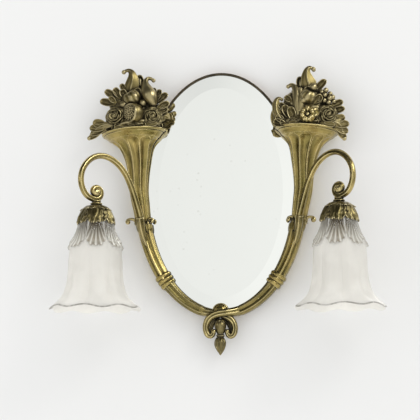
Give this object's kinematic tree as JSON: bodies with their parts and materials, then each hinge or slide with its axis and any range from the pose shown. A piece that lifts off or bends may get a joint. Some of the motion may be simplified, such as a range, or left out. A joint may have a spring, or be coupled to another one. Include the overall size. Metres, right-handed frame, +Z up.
{
  "type": "girandole mirror",
  "caption": "Oval bevelled wall mirror held by cornucopia brackets with fruit, each carrying a scrolled lamp arm with a tulip glass shade.",
  "frame": {"origin": "centre of the hanging hole in the plane of the wall", "axes": "+Z up, +Y into the wall, +X to the right of a person who faces the mirror"},
  "size_m": [0.5498, 0.1743, 0.4906],
  "materials": {
    "bracket_brass": "cast, olive-brown patina with rubbed gold highlights",
    "fruit_brass": "cast, dark patina in the hollows",
    "knot_brass": "cast, rubbed patina",
    "lamp_brass": "cast and drawn, aged patina",
    "tray_brass": "dull sheet, darkened",
    "hardware_brass": "plain stamped sheet",
    "screw_steel": "plain turned, slightly tarnished",
    "mirror": "silvered, bevelled, a little age spotting",
    "shade_glass": "acid-frosted, clear moulded leaves at the neck",
    "packing_felt": "thin grey felt",
    "board_wood": "unvarnished board, aged",
    "porcelain": "glazed white",
    "wire_cover": "braided cotton over rubber",
    "bumper_rubber": "matt"
  },
  "bodies": {
    "root": {"arm_set_screws": "screw_steel", "backboard": "board_wood", "bumper_screws": "screw_steel", "button_screws": "screw_steel", "canopy_nuts": "hardware_brass", "centre_berry": "knot_brass", "centre_contacts": "hardware_brass", "ear_screws": "screw_steel", "finial_bud": "knot_brass", "fruit_screws": "screw_steel", "hanger_strap": "hardware_brass", "knot_bolt": "screw_steel", "knot_dome": "knot_brass", "left_arm": "lamp_brass", "left_fruit_cluster": "fruit_brass", "left_holder_core": "porcelain", "left_horn": "bracket_brass", "left_lampholder": "lamp_brass", "left_leaf_canopy": "lamp_brass", "left_leaf_collar": "bracket_brass", "left_lower_stem": "bracket_brass", "left_neck_ring": "lamp_brass", "left_nipple": "lamp_brass", "left_screw_shell": "hardware_brass", "left_stem_band": "bracket_brass", "left_upper_stem": "bracket_brass", "left_wire": "wire_cover", "mirror_glass": "mirror", "packing_sheet": "packing_felt", "pendant_collar": "knot_brass", "pendant_rod": "screw_steel", "right_arm": "lamp_brass", "right_fruit_cluster": "fruit_brass", "right_holder_core": "porcelain", "right_horn": "bracket_brass", "right_lampholder": "lamp_brass", "right_leaf_canopy": "lamp_brass", "right_leaf_collar": "bracket_brass", "right_lower_stem": "bracket_brass", "right_neck_ring": "lamp_brass", "right_nipple": "lamp_brass", "right_screw_shell": "hardware_brass", "right_stem_band": "bracket_brass", "right_upper_stem": "bracket_brass", "right_wire": "wire_cover", "rim_tray": "tray_brass", "strap_screws": "screw_steel", "terminal_block": "porcelain", "terminal_screws": "screw_steel", "wall_bumpers": "bumper_rubber", "wire_clips": "hardware_brass"},
    "left_shade": {"left_glass_shade": "shade_glass"},
    "left_shade_ring": {"left_shade_ring": "lamp_brass"},
    "left_upper_button": {"left_turn_button_upper": "hardware_brass"},
    "left_lower_button": {"left_turn_button_lower": "hardware_brass"},
    "right_shade": {"right_glass_shade": "shade_glass"},
    "right_shade_ring": {"right_shade_ring": "lamp_brass"},
    "right_upper_button": {"right_turn_button_upper": "hardware_brass"},
    "right_lower_button": {"right_turn_button_lower": "hardware_brass"}
  },
  "joints": [
    {"name": "left_shade_lower", "type": "slide", "parent": "root", "child": "left_shade", "axis": [0, 0, -1], "range_m": [0, 0.075]},
    {"name": "left_ring_turn", "type": "hinge", "parent": "left_shade", "child": "left_shade_ring", "pos_m": [-0.19988, -0.09928, -0.145], "axis": [0, 0, 1], "range_deg": [-1440, 0]},
    {"name": "left_upper_button_turn", "type": "hinge", "parent": "root", "child": "left_upper_button", "pos_m": [-0.13368, -0.0071, -0.02857], "axis": [0, 1, 0], "range_deg": [0, 90]},
    {"name": "left_lower_button_turn", "type": "hinge", "parent": "root", "child": "left_lower_button", "pos_m": [-0.08238, -0.0071, -0.25658], "axis": [0, 1, 0], "range_deg": [-90, 0]},
    {"name": "right_shade_lower", "type": "slide", "parent": "root", "child": "right_shade", "axis": [0, 0, -1], "range_m": [0, 0.075]},
    {"name": "right_ring_turn", "type": "hinge", "parent": "right_shade", "child": "right_shade_ring", "pos_m": [0.19988, -0.09928, -0.145], "axis": [0, 0, 1], "range_deg": [-1440, 0]},
    {"name": "right_upper_button_turn", "type": "hinge", "parent": "root", "child": "right_upper_button", "pos_m": [0.13368, -0.0071, -0.02857], "axis": [0, 1, 0], "range_deg": [-90, 0]},
    {"name": "right_lower_button_turn", "type": "hinge", "parent": "root", "child": "right_lower_button", "pos_m": [0.08238, -0.0071, -0.25658], "axis": [0, 1, 0], "range_deg": [0, 90]}
  ]
}
